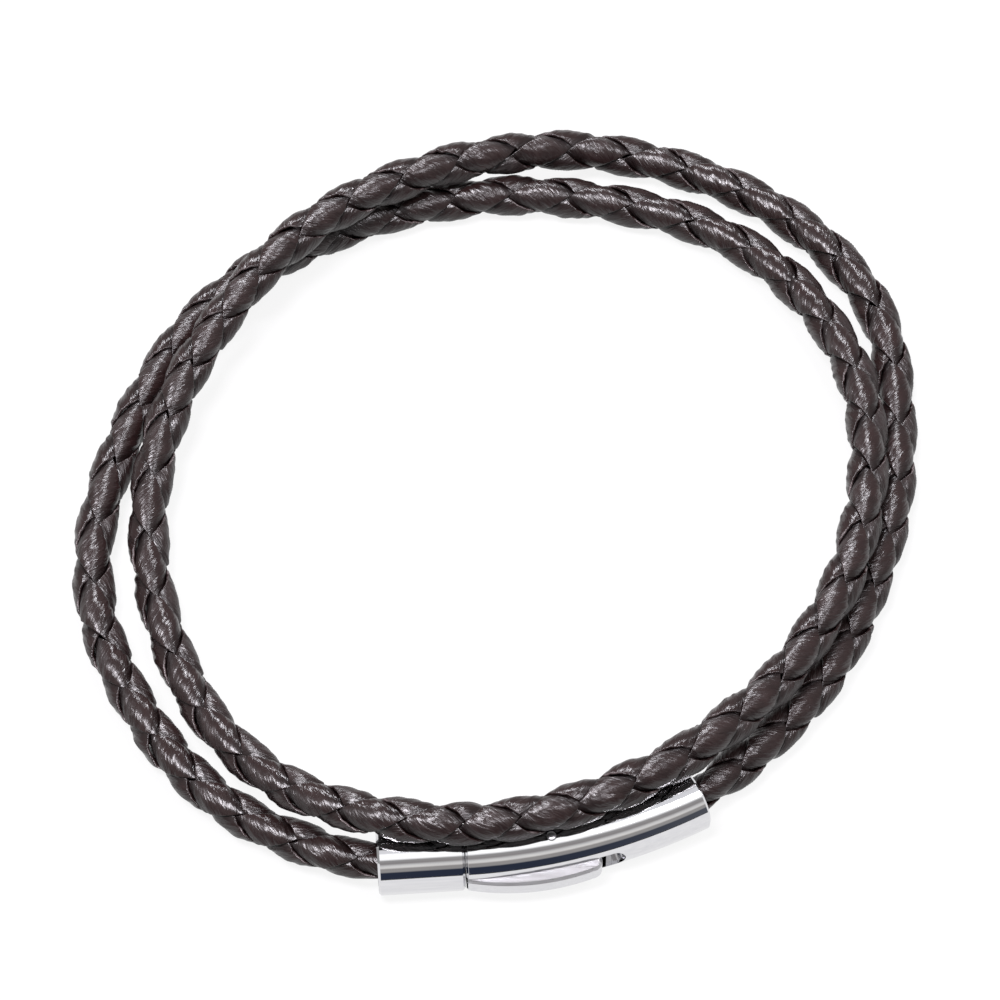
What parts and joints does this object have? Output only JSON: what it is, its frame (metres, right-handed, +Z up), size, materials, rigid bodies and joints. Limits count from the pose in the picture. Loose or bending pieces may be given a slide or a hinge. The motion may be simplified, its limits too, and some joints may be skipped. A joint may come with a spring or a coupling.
{
  "type": "braided leather double-wrap bracelet",
  "caption": "Round braided leather cord bracelet that goes twice round the wrist and closes with a tubular steel lever clasp.",
  "frame": {"origin": "on the surface that the bracelet lies on, under the middle of its outline", "axes": "+Z up, through the loop the way a hand goes in; -Y towards the clasp; +X to the right seen from the clasp's side"},
  "size_m": [0.0808, 0.0851, 0.0103],
  "materials": {
    "leather": "dark brown leather strips with a waxed sheen",
    "polished_steel": "mirror polished stainless steel",
    "satin_steel": "satin stainless steel"
  },
  "bodies": {
    "root": {"strand_1": "leather", "strand_2": "leather", "strand_3": "leather", "strand_4": "leather", "barrel": "polished_steel", "end_cap": "polished_steel", "hinge_pin": "satin_steel"},
    "lever": {"lever": "satin_steel"}
  },
  "joints": [
    {"name": "lever_hinge", "type": "hinge", "parent": "root", "child": "lever", "pos_m": [0.00466, -0.03855, 0.003], "axis": [0, 0, 1], "range_deg": [0, 10], "stiffness_Nm_per_rad": 0.001}
  ]
}
